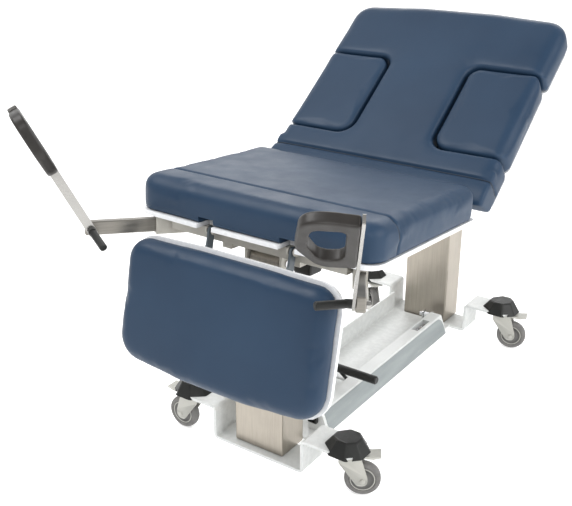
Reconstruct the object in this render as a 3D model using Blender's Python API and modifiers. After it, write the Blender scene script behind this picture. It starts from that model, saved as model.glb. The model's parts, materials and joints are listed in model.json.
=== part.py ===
"""A height-adjustable medical exam table: a base on four casters, two lifting columns and a tilting
deck that carries a seat, a raising backrest with two drop-away side panels, a hanging footrest and
two stirrups. Metres, +Z up, the foot end towards -Y. Run it with blender --background --python part.py."""

import math

import bmesh
import bpy
from mathutils import Matrix, Vector

# ---------------------------------------------------------------- placing
ORIGIN_SHIFT = Vector((-0.008, 0.150, 0.0))  # moves the table so that its box is centred on the origin
GAP = 0.0003  # between pieces that touch
ROUND = 16  # sides of a plain round bar
BEARING = 24  # sides of a pin or bore that turns
SIDES = {"left": -1, "right": 1}  # as seen from the foot end

# ---------------------------------------------------------------- casters and base
WHEEL_RADIUS = 0.050
WHEEL_WIDTH = 0.028
CASTER_TRAIL = 0.040
CASTER_AXLE_RADIUS = 0.0050
STEM_X = 0.270
STEM_HOLE_RADIUS = 0.0065
STEM_Y = {"front": -0.506, "rear": 0.534}
SWIVEL_DEG = {"front_left": 180, "front_right": 30, "rear_left": -39, "rear_right": 15}
BEAM_TOP = 0.145
BEAM_BOTTOM = 0.040
BEAM_PLATE = 0.008
BEAM_WIDTH = 0.100
BEAM_HALF_LENGTH = 0.306
BEAM_DROP_X = 0.155
TRAY_LEFT = -0.135
TRAY_RIGHT = 0.100
TRAY_PLATE = 0.005
SIDE_BEAM_X = (0.054, 0.1235)
SIDE_BEAM_TOP_X = 0.098  # where its sloping outer face meets its top
SIDE_BEAM_Y = (-0.375, 0.405)
SIDE_BEAM_Z = (0.0536, 0.1225)
CHAMFER = 0.020  # of a crossbeam's corners, under its covers
FOOT_BAR_Y = -0.190
FOOT_BAR_Z = 0.165
FOOT_BAR_HALF_LENGTH = 0.175
FOOT_BAR_PIVOT = (-0.120, 0.085)  # y, z

# ---------------------------------------------------------------- lifting columns
COLUMN_X = -0.010
COLUMN_SIZE = (0.165, 0.105)
COLUMN_Y = {"front": -0.4815, "rear": 0.5425}
COLUMN_WALL = 0.003
HOUSING_TOP = 0.410
MIDDLE_STAGE_SIZE = (0.150, 0.090)
INNER_STAGE_SIZE = (0.130, 0.072)
STAGE_BOTTOM = 0.115
PIVOT_RADIUS = 0.010
BORE_CLEARANCE = 0.00015
STAGE_HEAD_HALF_WIDTH = 0.045

# ---------------------------------------------------------------- deck, in the tilting frame (x, v, w)
TILT_PIVOT = Vector((0.0, -0.480, 0.615))
DECK_TILT_DEG = -4.7  # the foot end is the higher one
REAR_PIVOT_V = 1.0265
RAIL_X = 0.110
RAIL_WIDTH = 0.030
RAIL_W = (0.020, 0.055)
BOARD_W = (0.082, 0.094)
SEAT_HALF_WIDTH = 0.375
SEAT_FRONT_V = -0.1276
SEAT_REAR_V = 0.450
SEAT_TOP_W = 0.190
SEAT_CORNER = 0.050
MEMBER_V = (0.0, 0.130, 0.400, REAR_PIVOT_V)  # cross members between the rails
SEAT_MEMBER_V = (0.0, 0.400)  # the ones under the seat, which reach past the rails
SEAT_MEMBER_REACH = 0.300
PIVOT_PLATE = 0.008
REAR_SLOT_REACH = 0.020
BACK_PIN_RADIUS = 0.0060
FOOTREST_PIN_RADIUS = 0.0050
CROSSBAR_V = (-0.080, -0.050)
CROSSBAR_W = (0.045, 0.075)

# ---------------------------------------------------------------- backrest, from its hinge (x, u, w)
BACK_HINGE = Vector((0.0, 0.5666, 0.0852))
BACK_ANGLE_DEG = 41.0  # above the deck
BACK_TOP_W = 0.1021
BACK_BOARD_W = (0.005, 0.017)
BACK_START_U = 0.0383
BACK_HEAD_U = 0.703
BACK_HALF_WIDTH = 0.375
HEADREST_CORNER = 0.065
HEADREST_SLOPE = 0.018  # how far the outline falls from its middle to its corners
PANEL_U = (0.121, 0.460)
PANEL_INNER_X = 0.1395
PANEL_SEAM = 0.004
PANEL_AXIS = Vector((0.1425, 0.0, -0.003))
BACK_RAIL_X = 0.075
BACK_RAIL_WIDTH = 0.025
BACK_RAIL_W = (-0.0253, 0.0047)
CRANK_RADIUS = 0.080
CRANK_LEAD_DEG = 3.5

# ---------------------------------------------------------------- footrest, from its hinge, drawn level
FOOTREST_HINGE = Vector((0.0, -0.096, 0.0754))
FOOTREST_DROP_DEG = 81.7
FOOTREST_HALF_WIDTH = 0.326
FOOTREST_V = (-0.400, -0.035)
FOOTREST_BOARD_W = (0.0476, 0.0596)
FOOTREST_FACE_W = 0.1146
FOOTREST_ARM_X = 0.130
FOOTREST_ARM_PLATE = 0.006

# ---------------------------------------------------------------- stirrups
STIRRUP_SPLAY_DEG = {"left": 35, "right": 31}  # of the arms, outwards from -Y
STIRRUP_ROOT = Vector((0.285, -0.0576, 0.046))
STIRRUP_REACH = {"left": 0.231, "right": 0.206}
STIRRUP_LEAN_DEG = {"left": 30, "right": 44.5}  # of the bar, outwards from upright
ARM_WIDTH = 0.024
ARM_HEIGHT = 0.038
BAR_WIDTH = 0.025
BAR_PLATE = 0.007
BAR_LENGTH = 0.385
LOOP_START = 0.203
LOOP_DEPTH = 0.030
LOOP_REACH = 0.131
LEVER_TILT_DEG = 22
LEVER_SPIN_DEG = {"left": 127, "right": 0}  # of the handle about the pivot, from the arm's outward end

COLOURS = {
    "navy_vinyl": ((0.045, 0.095, 0.160), 0.45, 0.0),
    "white_edging": ((0.80, 0.82, 0.84), 0.50, 0.0),
    "white_paint": ((0.62, 0.66, 0.65), 0.40, 0.0),
    "satin_steel": ((0.55, 0.50, 0.44), 0.32, 1.0),
    "frame_paint": ((0.10, 0.12, 0.14), 0.45, 0.0),
    "beige_paint": ((0.55, 0.52, 0.47), 0.45, 0.0),
    "label_grey": ((0.30, 0.34, 0.34), 0.55, 0.0),
    "black_plastic": ((0.030, 0.032, 0.030), 0.50, 0.0),
    "black_pad": ((0.075, 0.065, 0.055), 0.60, 0.0),
    "grey_plastic": ((0.45, 0.45, 0.42), 0.45, 0.0),
    "tyre_rubber": ((0.14, 0.135, 0.13), 0.70, 0.0),
    "chrome": ((0.75, 0.76, 0.78), 0.12, 1.0),
}


# ---------------------------------------------------------------- tools
def material(name):
    """The named material, made once."""
    if name in bpy.data.materials:
        return bpy.data.materials[name]
    colour, roughness, metallic = COLOURS[name]
    made = bpy.data.materials.new(name)
    made.use_nodes = True
    shader = made.node_tree.nodes["Principled BSDF"]
    shader.inputs["Base Color"].default_value = (*colour, 1.0)
    shader.inputs["Roughness"].default_value = roughness
    shader.inputs["Metallic"].default_value = metallic
    return made


def empty(name, parent, location=(0, 0, 0), turn_x=0.0, turn_z=0.0):
    """An axis marker: turned about Z and then, in its own frame, about X, in degrees."""
    made = bpy.data.objects.new(name, None)
    made.empty_display_size = 0.05
    bpy.context.scene.collection.objects.link(made)
    made.parent = parent
    made.location = location
    made.rotation_euler = (math.radians(turn_x), 0.0, math.radians(turn_z))
    return made


def from_bmesh(name, shape):
    """A loose mesh object from a bmesh, which it frees."""
    mesh = bpy.data.meshes.new(name)
    shape.to_mesh(mesh)
    shape.free()
    made = bpy.data.objects.new(name, mesh)
    bpy.context.scene.collection.objects.link(made)
    return made


def box(low, high):
    """A block between two corners."""
    shape = bmesh.new()
    bmesh.ops.create_cube(shape, size=1.0)
    low = Vector(low)
    high = Vector(high)
    bmesh.ops.scale(shape, vec=high - low, verts=shape.verts)
    bmesh.ops.translate(shape, vec=(low + high) / 2, verts=shape.verts)
    return from_bmesh("block", shape)


def rod(start, end, radius, segments=ROUND):
    """A round bar between two points."""
    start = Vector(start)
    end = Vector(end)
    shape = bmesh.new()
    bmesh.ops.create_cone(
        shape,
        cap_ends=True,
        segments=segments,
        radius1=radius,
        radius2=radius,
        depth=(end - start).length,
    )
    turn = Vector((0, 0, 1)).rotation_difference(end - start).to_matrix().to_4x4()
    bmesh.ops.transform(shape, matrix=Matrix.Translation((start + end) / 2) @ turn, verts=shape.verts)
    return from_bmesh("rod", shape)


def rounded(corners, steps=4):
    """The points of a closed outline whose corners (x, y, radius) are arcs."""
    points = []
    for index, (x, y, radius) in enumerate(corners):
        corner = Vector((x, y))
        before = (Vector(corners[index - 1][:2]) - corner).normalized()
        after = (Vector(corners[(index + 1) % len(corners)][:2]) - corner).normalized()
        if radius == 0:
            points.append(corner)
            continue
        half = before.angle(after) / 2
        centre = corner + (before + after).normalized() * (radius / math.sin(half))
        start = corner + before * (radius / math.tan(half)) - centre
        end = corner + after * (radius / math.tan(half)) - centre
        sweep = start.angle_signed(end)
        for step in range(steps + 1):
            points.append(centre + Matrix.Rotation(-sweep * step / steps, 2) @ start)
    return points


PLANES = {
    "xy": Matrix.Identity(4),
    "xz": Matrix(((1, 0, 0, 0), (0, 0, -1, 0), (0, 1, 0, 0), (0, 0, 0, 1))),
    "yz": Matrix(((0, 0, 1, 0), (1, 0, 0, 0), (0, 1, 0, 0), (0, 0, 0, 1))),
}


def slab(outlines, plane, low, high):
    """A flat piece: the first outline with the others cut out of it, drawn in a plane and given a
    thickness from low to high along the plane's normal."""
    curve = bpy.data.curves.new("outline", "CURVE")
    curve.dimensions = "2D"
    curve.fill_mode = "BOTH"
    curve.extrude = (high - low) / 2
    for outline in outlines:
        spline = curve.splines.new("POLY")
        spline.points.add(len(outline) - 1)
        for point, place in zip(spline.points, outline):
            point.co = (place.x, place.y, 0, 1)
        spline.use_cyclic_u = True
    drawn = bpy.data.objects.new("outline", curve)
    bpy.context.scene.collection.objects.link(drawn)
    shape = solid_mesh(drawn)
    bpy.data.objects.remove(drawn)
    normal_sign = -1 if plane == "xz" else 1
    middle = Matrix.Translation((0, 0, normal_sign * (low + high) / 2))
    bmesh.ops.transform(shape, matrix=PLANES[plane] @ middle, verts=shape.verts)
    return from_bmesh("slab", shape)


def solid_mesh(item):
    """A bmesh of the object with its modifiers, its loose caps welded and its faces turned outwards."""
    bpy.context.view_layer.update()
    graph = bpy.context.evaluated_depsgraph_get()
    mesh = bpy.data.meshes.new_from_object(item.evaluated_get(graph))
    shape = bmesh.new()
    shape.from_mesh(mesh)
    bpy.data.meshes.remove(mesh)
    bmesh.ops.remove_doubles(shape, verts=shape.verts, dist=1e-6)
    bmesh.ops.recalc_face_normals(shape, faces=shape.faces)
    return shape


def bake(item):
    """Replaces the object's mesh by what its modifiers make of it."""
    shape = solid_mesh(item)
    item.modifiers.clear()
    shape.to_mesh(item.data)
    shape.free()


def combine(base, others, operation):
    """Joins the others to the base, or cuts them from it, and removes them. Their faces often lie in
    one plane, which the manifold solver joins cleanly."""
    for other in others:
        modifier = base.modifiers.new("combine", "BOOLEAN")
        modifier.operation = operation
        modifier.solver = "MANIFOLD"
        modifier.object = other
    bake(base)
    for other in others:
        bpy.data.objects.remove(other)
    return base


def join(first, *others):
    return combine(first, others, "UNION")


def cut(base, *cutters):
    return combine(base, cutters, "DIFFERENCE")


def soften(item, width, segments=2, angle_deg=40):
    """Rounds the sharp edges."""
    modifier = item.modifiers.new("soften", "BEVEL")
    modifier.width = width
    modifier.segments = segments
    modifier.limit_method = "ANGLE"
    modifier.angle_limit = math.radians(angle_deg)
    return item


def turned(profile, steps=24):
    """A ring or disc about Z from a closed profile of (radius, height) points."""
    shape = bmesh.new()
    points = [shape.verts.new((radius, 0, height)) for radius, height in profile]
    for index, point in enumerate(points):
        shape.edges.new((points[index - 1], point))
    item = from_bmesh("ring", shape)
    screw = item.modifiers.new("turn", "SCREW")
    screw.steps = steps
    screw.render_steps = steps
    screw.use_merge_vertices = True
    screw.merge_threshold = 1e-5
    bake(item)
    return item


def place(item, name, surface, parent, matrix=None):
    """Makes a piece of the table from a shape: its name, its material and the frame it belongs to."""
    if matrix is not None:
        item.data.transform(matrix)
    item.name = name
    item.data.name = name
    item.data.materials.clear()
    item.data.materials.append(material(surface))
    item.data.shade_smooth()
    item.data.set_sharp_from_angle(angle=math.radians(35))
    item.parent = parent
    for collection in item.users_collection:
        collection.objects.unlink(item)
    bpy.data.collections["exam_table"].objects.link(item)
    return item


def hollow_post(size, centre_y, bottom, top, wall, closed_bottom=False):
    """A rectangular tube standing upright on the columns' centre line, open at the top."""
    half_x = size[0] / 2
    half_y = size[1] / 2
    outer = box((COLUMN_X - half_x, centre_y - half_y, bottom), (COLUMN_X + half_x, centre_y + half_y, top))
    soften(outer, 0.004)
    floor = bottom + wall if closed_bottom else bottom - wall
    inner = box(
        (COLUMN_X - half_x + wall, centre_y - half_y + wall, floor),
        (COLUMN_X + half_x - wall, centre_y + half_y - wall, top + wall),
    )
    return cut(outer, inner)


# ---------------------------------------------------------------- base
def crossbeam(end, root):
    """The bent plate that carries two casters and, in its low middle, a column."""
    outer = BEAM_DROP_X
    inner = BEAM_DROP_X - BEAM_PLATE
    high = BEAM_TOP
    low = BEAM_BOTTOM
    plate = BEAM_PLATE
    tip = BEAM_HALF_LENGTH
    bend = 0.012
    corners = [
        (-tip, high, 0),
        (-tip, high - plate, 0),
        (-outer, high - plate, bend - plate),
        (-outer, low, bend),
        (outer, low, bend),
        (outer, high - plate, bend - plate),
        (tip, high - plate, 0),
        (tip, high, 0),
        (inner, high, bend),
        (inner, low + plate, bend - plate),
        (-inner, low + plate, bend - plate),
        (-inner, high, bend),
    ]
    middle = STEM_Y[end]
    item = slab([rounded(corners, 3)], "xz", middle - BEAM_WIDTH / 2, middle + BEAM_WIDTH / 2)
    for side in SIDES.values():
        stem_x = side * STEM_X
        cut(item, rod((stem_x, middle, high - 2 * plate), (stem_x, middle, high + plate), STEM_HOLE_RADIUS))
        for edge in (-1, 1):
            half = CHAMFER / math.sqrt(2)
            wedge = box((-half, -2 * half, high - 2 * plate), (half, 2 * half, high + plate))
            corner = Matrix.Translation((side * tip, middle + edge * BEAM_WIDTH / 2, 0))
            wedge.data.transform(corner @ Matrix.Rotation(math.radians(45 * side * edge), 4, "Z"))
            cut(item, wedge)
    place(item, end + "_crossbeam", "white_paint", root)


def base_tray(root):
    """The long floor between the crossbeams, turned up along its left edge."""
    bottom = BEAM_BOTTOM + BEAM_PLATE + GAP
    wall_top = SIDE_BEAM_Z[1]
    corners = [
        (TRAY_LEFT, wall_top, 0),
        (TRAY_LEFT, bottom, 0.008),
        (TRAY_RIGHT, bottom, 0),
        (TRAY_RIGHT, bottom + TRAY_PLATE, 0),
        (TRAY_LEFT + TRAY_PLATE, bottom + TRAY_PLATE, 0.003),
        (TRAY_LEFT + TRAY_PLATE, wall_top, 0),
    ]
    start = STEM_Y["front"] + COLUMN_SIZE[1] / 2 + 0.030
    end = STEM_Y["rear"] - COLUMN_SIZE[1] / 2 + 0.002
    place(slab([rounded(corners, 3)], "xz", start, end), "base_tray", "white_paint", root)


def side_beam(root):
    """The box beam along the right of the tray, with a sloping outer face that carries a blank label,
    open at the top where the brake linkage shows."""
    start, end = SIDE_BEAM_Y
    low_x, high_x = SIDE_BEAM_X
    low_z, high_z = SIDE_BEAM_Z
    corners = [
        (low_x, low_z, 0.004),
        (high_x, low_z, 0.004),
        (SIDE_BEAM_TOP_X, high_z, 0.004),
        (low_x, high_z, 0.004),
    ]
    item = slab([rounded(corners, 3)], "xz", start, end)
    slot = box((0.062, 0.245, 0.085), (0.088, 0.335, 0.140))
    place(cut(item, slot), "side_beam", "white_paint", root)

    run = high_x - SIDE_BEAM_TOP_X
    rise = high_z - low_z
    face_length = math.hypot(run, rise)
    margin = 0.006
    stripe = rounded(
        [
            (start + 0.012, margin, 0.020),
            (end - 0.006, margin, 0.004),
            (end - 0.006, face_length - margin, 0.030),
            (start + 0.012, face_length - margin, 0.004),
        ]
    )
    strip = slab([stripe], "yz", GAP, GAP + 0.001)
    lean = Matrix.Rotation(-math.atan2(run, rise), 4, "Y")
    strip.data.transform(Matrix.Translation((high_x, 0, low_z)) @ lean)
    place(strip, "label_strip", "label_grey", root)


def inlet(root):
    """The mains socket on the side beam's front end."""
    face = SIDE_BEAM_Y[0] - GAP
    body = soften(box((0.059, face - 0.012, 0.084), (0.089, face, 0.114)), 0.002)
    recess = box((0.064, face - 0.020, 0.089), (0.084, face - 0.004, 0.109))
    place(cut(body, recess), "mains_inlet", "black_plastic", root)


def foot_pedal(root):
    """The bracket on the tray and the rocking bar that locks the brakes."""
    pivot_y, pivot_z = FOOT_BAR_PIVOT
    floor = BEAM_BOTTOM + BEAM_PLATE + TRAY_PLATE + 2 * GAP
    ear_radius = 0.013
    foot = box((-0.060, pivot_y - 0.030, floor), (0.050, pivot_y + 0.030, floor + 0.005))
    ears = []
    for low in (-0.060, 0.045):
        ears.append(box((low, pivot_y - ear_radius, floor), (low + 0.005, pivot_y + ear_radius, pivot_z)))
        ears.append(rod((low, pivot_y, pivot_z), (low + 0.005, pivot_y, pivot_z), ear_radius))
    pin = rod((-0.063, pivot_y, pivot_z), (0.053, pivot_y, pivot_z), 0.0050, BEARING)
    place(join(foot, *ears, pin), "pedal_bracket", "white_paint", root)

    axis = empty("foot_bar_axis", root, (0, pivot_y, pivot_z))
    rise = Vector((0, FOOT_BAR_Y - pivot_y, FOOT_BAR_Z - pivot_z))
    half = FOOT_BAR_HALF_LENGTH
    bar = soften(rod(rise - Vector((half, 0, 0)), rise + Vector((half, 0, 0)), 0.013), 0.003, 1)
    bake(bar)
    arms = []
    bores = []
    for centre in (-0.045, 0.035):
        side = Vector((centre, 0, 0))
        arms.append(rod(side - Vector((0.004, 0, 0)), side + Vector((0.004, 0, 0)), 0.012))
        arms.append(rod(side, side + rise, 0.0055, ROUND))
        bores.append(rod(side - Vector((0.01, 0, 0)), side + Vector((0.01, 0, 0)), 0.0051, BEARING))
    place(cut(join(bar, *arms), *bores), "foot_bar", "black_plastic", axis)


def brake_linkage(root):
    """The plated clevis and its pins, standing on the tray in front of the rear column."""
    floor = BEAM_BOTTOM + BEAM_PLATE + TRAY_PLATE + 2 * GAP
    middle = Vector((0.030, 0.440, floor))
    base = box(middle - Vector((0.028, 0.022, 0)), middle + Vector((0.028, 0.022, 0.004)))
    ears = [
        soften(box(middle + Vector((x, -0.014, 0)), middle + Vector((x + 0.005, 0.014, 0.052))), 0.002, 1)
        for x in (-0.018, 0.013)
    ]
    pin = rod(middle + Vector((-0.030, 0, 0.036)), middle + Vector((0.032, 0, 0.036)), 0.008, ROUND)
    nut = rod(middle + Vector((0.020, 0, 0.036)), middle + Vector((0.028, 0, 0.036)), 0.013, 6)
    collar = rod(middle + Vector((-0.010, 0, 0.036)), middle + Vector((0.008, 0, 0.036)), 0.014, ROUND)
    place(join(base, *ears, pin, nut, collar), "brake_linkage", "chrome", root)


def corner_cover(name, stem, side, root):
    """The faceted bumper cap over a crossbeam's end."""
    shape = bmesh.new()
    bmesh.ops.create_cone(shape, cap_ends=True, segments=8, radius1=0.065, radius2=0.037, depth=0.048)
    bmesh.ops.rotate(shape, matrix=Matrix.Rotation(math.radians(22.5), 3, "Z"), verts=shape.verts)
    for point in shape.verts:
        outward = point.co.x * side
        if outward < -0.02:
            point.co.x *= 1.25
            point.co.z -= 0.006 if point.co.z > 0 else 0
    bmesh.ops.translate(shape, vec=(stem.x, stem.y, BEAM_TOP + 0.009), verts=shape.verts)
    item = soften(from_bmesh("cap", shape), 0.003, 1, 15)
    bake(item)
    beam_low = BEAM_TOP - BEAM_PLATE - GAP
    inward = stem.x - side * 0.120
    tip = side * (BEAM_HALF_LENGTH + GAP)
    slot_half = BEAM_WIDTH / 2 + GAP
    slot = box(
        (min(inward, tip), stem.y - slot_half, beam_low),
        (max(inward, tip), stem.y + slot_half, BEAM_TOP + GAP),
    )
    reach = 0.090
    below = box(
        (stem.x - reach, stem.y - reach, BEAM_TOP - 0.060),
        (stem.x + reach, stem.y + reach, beam_low + GAP),
    )
    place(cut(item, slot, below), name, "black_plastic", root)


# ---------------------------------------------------------------- casters
def caster(name, stem, swivel_deg, root):
    """A swivel fork with its brake pedal, hub and tyre, drawn with the wheel trailing towards +X."""
    swivel = empty(name + "_swivel_axis", root, (stem.x, stem.y, 0), turn_z=swivel_deg)
    axle = Vector((CASTER_TRAIL, 0, WHEEL_RADIUS))
    crown_top = BEAM_TOP - BEAM_PLATE - GAP
    crown_low = crown_top - 0.008
    leg_inner = WHEEL_WIDTH / 2 + 0.004
    leg_plate = 0.004

    leg_outer = leg_inner + leg_plate
    crown = box((-0.026, -leg_outer, crown_low - 0.008), (0.034, leg_outer, crown_low))
    leg = [
        (-0.026, crown_low, 0),
        (-0.026, crown_low - 0.022, 0.010),
        (axle.x - 0.015, axle.z - 0.015, 0.0145),
        (axle.x + 0.015, axle.z - 0.015, 0.0145),
        (axle.x + 0.013, axle.z + 0.012, 0.010),
        (0.033, crown_low, 0),
    ]
    legs = [
        slab([rounded(leg, 3)], "xz", leg_inner, leg_inner + leg_plate),
        slab([rounded(leg, 3)], "xz", -leg_inner - leg_plate, -leg_inner),
    ]
    collar = rod((0, 0, crown_low - 0.004), (0, 0, crown_top), 0.022, ROUND)
    stem_pin = rod((0, 0, crown_low), (0, 0, BEAM_TOP - 0.0005), 0.0062, ROUND)
    reach = leg_inner + leg_plate + 0.003
    axle_pin = rod(axle - Vector((0, reach, 0)), axle + Vector((0, reach, 0)), CASTER_AXLE_RADIUS, BEARING)
    fork = join(crown, *legs, collar, stem_pin, axle_pin)
    place(fork, name + "_fork", "grey_plastic", swivel)

    hinge = Vector((0.0375, 0, crown_low - 0.004))
    pedal_axis = empty(name + "_pedal_axis", swivel, hinge)
    pedal_outline = [
        (-0.001, -0.003, 0),
        (0.030, -0.004, 0.002),
        (0.052, 0.002, 0.002),
        (0.050, 0.006, 0.001),
        (0.028, 0.003, 0.004),
        (-0.001, 0.004, 0),
    ]
    pedal = slab([rounded(pedal_outline, 2)], "xz", -0.020, 0.020)
    place(pedal, name + "_brake_pedal", "grey_plastic", pedal_axis)

    wheel_axis = empty(name + "_wheel_axis", swivel, axle, turn_x=90)
    half = WHEEL_WIDTH / 2
    bore = CASTER_AXLE_RADIUS + BORE_CLEARANCE
    rim = WHEEL_RADIUS - 0.014
    hub_profile = [
        (bore, half),
        (0.014, half),
        (rim - 0.005, 0.006),
        (rim, half - 0.002),
        (rim, -half + 0.002),
        (rim - 0.005, -0.006),
        (0.014, -half),
        (bore, -half),
    ]
    place(turned(hub_profile), name + "_hub", "grey_plastic", wheel_axis)
    seat = rim + GAP
    tyre_profile = [
        (seat, half - 0.001),
        (WHEEL_RADIUS - 0.005, half - 0.001),
        (WHEEL_RADIUS, half - 0.008),
        (WHEEL_RADIUS, -half + 0.008),
        (WHEEL_RADIUS - 0.005, -half + 0.001),
        (seat, -half + 0.001),
    ]
    place(turned(tyre_profile), name + "_tyre", "tyre_rubber", wheel_axis)


# ---------------------------------------------------------------- columns
def columns(root):
    """Two housings on the base, the sliding stages in them and the heads that the deck pivots on."""
    floor = BEAM_BOTTOM + BEAM_PLATE + GAP
    for end, centre_y in COLUMN_Y.items():
        housing = hollow_post(COLUMN_SIZE, centre_y, floor, HOUSING_TOP, COLUMN_WALL, closed_bottom=True)
        place(housing, end + "_column_housing", "satin_steel", root)

    lift = empty("lift_slide", root)
    front_y = TILT_PIVOT.y
    stage = column_stage(MIDDLE_STAGE_SIZE, COLUMN_Y["front"], STAGE_BOTTOM, 0.575, front_y, TILT_PIVOT.z)
    place(stage, "front_column_stage", "satin_steel", lift)

    rear_lift = empty("rear_lift_slide", root)
    rear = rear_pivot()
    middle = hollow_post(MIDDLE_STAGE_SIZE, COLUMN_Y["rear"], STAGE_BOTTOM, 0.440, COLUMN_WALL)
    place(middle, "rear_column_middle_stage", "satin_steel", rear_lift)

    inner_slide = empty("rear_inner_slide", rear_lift)
    low = STAGE_BOTTOM + 0.045
    inner = column_stage(INNER_STAGE_SIZE, COLUMN_Y["rear"], low, rear.z - 0.040, rear.y, rear.z)
    place(inner, "rear_column_inner_stage", "satin_steel", inner_slide)
    pin = rod((COLUMN_X - 0.068, rear.y, rear.z), (COLUMN_X + 0.068, rear.y, rear.z), PIVOT_RADIUS, BEARING)
    place(pin, "rear_pivot_pin", "chrome", inner_slide)


def rear_pivot():
    """Where the deck's rear pivot stands, in the table's frame."""
    turn = math.radians(DECK_TILT_DEG)
    return TILT_PIVOT + Vector((0, REAR_PIVOT_V * math.cos(turn), REAR_PIVOT_V * math.sin(turn)))


def column_stage(size, centre_y, bottom, top, pivot_y, pivot_z):
    """A sliding post with a bored head on top."""
    half_x = size[0] / 2
    half_y = size[1] / 2
    post = box((COLUMN_X - half_x, centre_y - half_y, bottom), (COLUMN_X + half_x, centre_y + half_y, top))
    soften(post, 0.004)
    hollow = box(
        (COLUMN_X - half_x + COLUMN_WALL, centre_y - half_y + COLUMN_WALL, bottom - 0.01),
        (COLUMN_X + half_x - COLUMN_WALL, centre_y + half_y - COLUMN_WALL, top - 0.010),
    )
    post = cut(post, hollow)
    head_radius = 0.020
    low_x = COLUMN_X - STAGE_HEAD_HALF_WIDTH
    high_x = COLUMN_X + STAGE_HEAD_HALF_WIDTH
    neck = box((low_x, pivot_y - head_radius, top - 0.005), (high_x, pivot_y + head_radius, pivot_z))
    head = rod((low_x, pivot_y, pivot_z), (high_x, pivot_y, pivot_z), head_radius, BEARING)
    bore_radius = PIVOT_RADIUS + BORE_CLEARANCE
    bore = rod((low_x - 0.01, pivot_y, pivot_z), (high_x + 0.01, pivot_y, pivot_z), bore_radius, BEARING)
    return cut(join(post, neck, head), bore)


# ---------------------------------------------------------------- deck
def deck_frame(deck):
    """The welded frame that tilts: rails, cross members, pivot plates, hinge ears and arm sockets."""
    parts = rails_and_crossbars() + pivot_plates() + backrest_ears() + footrest_ears()
    sockets, bores = stirrup_sockets()
    frame = join(parts[0], *parts[1:], *sockets)
    place(cut(frame, *bores, *pivot_bores()), "deck_frame", "beige_paint", deck)
    half = STAGE_HEAD_HALF_WIDTH + 0.019
    pin = rod((COLUMN_X - half, 0, 0), (COLUMN_X + half, 0, 0), PIVOT_RADIUS, BEARING)
    place(pin, "front_pivot_pin", "chrome", deck)


def rails_and_crossbars():
    """Two long rails, the members across them and the front bar that carries the footrest."""
    low_w, high_w = RAIL_W
    parts = []
    for side in SIDES.values():
        low = side * RAIL_X - RAIL_WIDTH / 2
        start = CROSSBAR_V[1] - 0.002
        parts.append(box((low, start, low_w), (low + RAIL_WIDTH, REAR_PIVOT_V + 0.035, high_w)))
    for centre in MEMBER_V:
        low = (-RAIL_X, centre - 0.015, low_w + 0.004)
        high = (RAIL_X, centre + 0.015, high_w - 0.001)
        parts.append(box(low, high))
    for centre in SEAT_MEMBER_V:
        reach = SEAT_MEMBER_REACH
        top = BOARD_W[0] - GAP
        parts.append(box((-reach, centre - 0.012, high_w - 0.004), (reach, centre + 0.012, top)))
    reach = 0.280
    parts.append(box((-reach, CROSSBAR_V[0], CROSSBAR_W[0]), (reach, CROSSBAR_V[1], CROSSBAR_W[1])))
    return parts


def pivot_plates():
    """The plates that hang from the rails either side of each column's head."""
    radius = 0.026
    parts = []
    for centre_v in (0.0, REAR_PIVOT_V):
        for low_x in pivot_plate_starts():
            high_x = low_x + PIVOT_PLATE
            high = (high_x, centre_v + radius, RAIL_W[1] - 0.002)
            parts.append(box((low_x, centre_v - radius, 0.0), high))
            parts.append(rod((low_x, centre_v, 0), (high_x, centre_v, 0), radius, BEARING))
    return parts


def pivot_plate_starts():
    """The low x of each pivot plate."""
    gap = STAGE_HEAD_HALF_WIDTH + 0.007
    return (COLUMN_X - gap - PIVOT_PLATE, COLUMN_X + gap)


def pivot_bores():
    """Round holes at the front pivot, and slots at the rear one, which the deck's tilt slides along."""
    slot_radius = PIVOT_RADIUS + 0.0012
    bores = []
    for low_x in pivot_plate_starts():
        start = low_x - 0.01
        end = start + 0.028
        bores.append(rod((start, 0, 0), (end, 0, 0), PIVOT_RADIUS + BORE_CLEARANCE, BEARING))
        corners = [
            (REAR_PIVOT_V - REAR_SLOT_REACH, -slot_radius),
            (REAR_PIVOT_V + REAR_SLOT_REACH, -slot_radius),
            (REAR_PIVOT_V + REAR_SLOT_REACH, slot_radius),
            (REAR_PIVOT_V - REAR_SLOT_REACH, slot_radius),
        ]
        slot = rounded([(v, w, slot_radius - 0.0001) for v, w in corners], 6)
        bores.append(slab([slot], "yz", start, end))
    return bores


def backrest_ears():
    """Two ears standing on the rails, each with a pin into the backrest's tube."""
    radius = 0.014
    at = BACK_HINGE
    parts = []
    for side in SIDES.values():
        low, high = sorted((side * 0.0905, side * 0.0985))
        parts.append(box((low, at.y - radius, RAIL_W[1] - 0.01), (high, at.y + radius, at.z)))
        parts.append(rod((low, at.y, at.z), (high, at.y, at.z), radius, BEARING))
        parts.append(rod((side * 0.064, at.y, at.z), (side * 0.096, at.y, at.z), BACK_PIN_RADIUS, BEARING))
    return parts


def footrest_ears():
    """Two pairs of ears on the front bar, each pair with a pin through a footrest arm."""
    radius = 0.011
    at = FOOTREST_HINGE
    parts = []
    for side in SIDES.values():
        middle = side * FOOTREST_ARM_X
        for low in (middle - 0.0125, middle + 0.0075):
            high = low + 0.005
            parts.append(box((low, at.y, at.z - radius), (high, CROSSBAR_V[0] + 0.005, CROSSBAR_W[1])))
            parts.append(rod((low, at.y, at.z), (high, at.y, at.z), radius, BEARING))
        start = (middle - 0.014, at.y, at.z)
        parts.append(rod(start, (middle + 0.014, at.y, at.z), FOOTREST_PIN_RADIUS, BEARING))
    return parts


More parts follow.
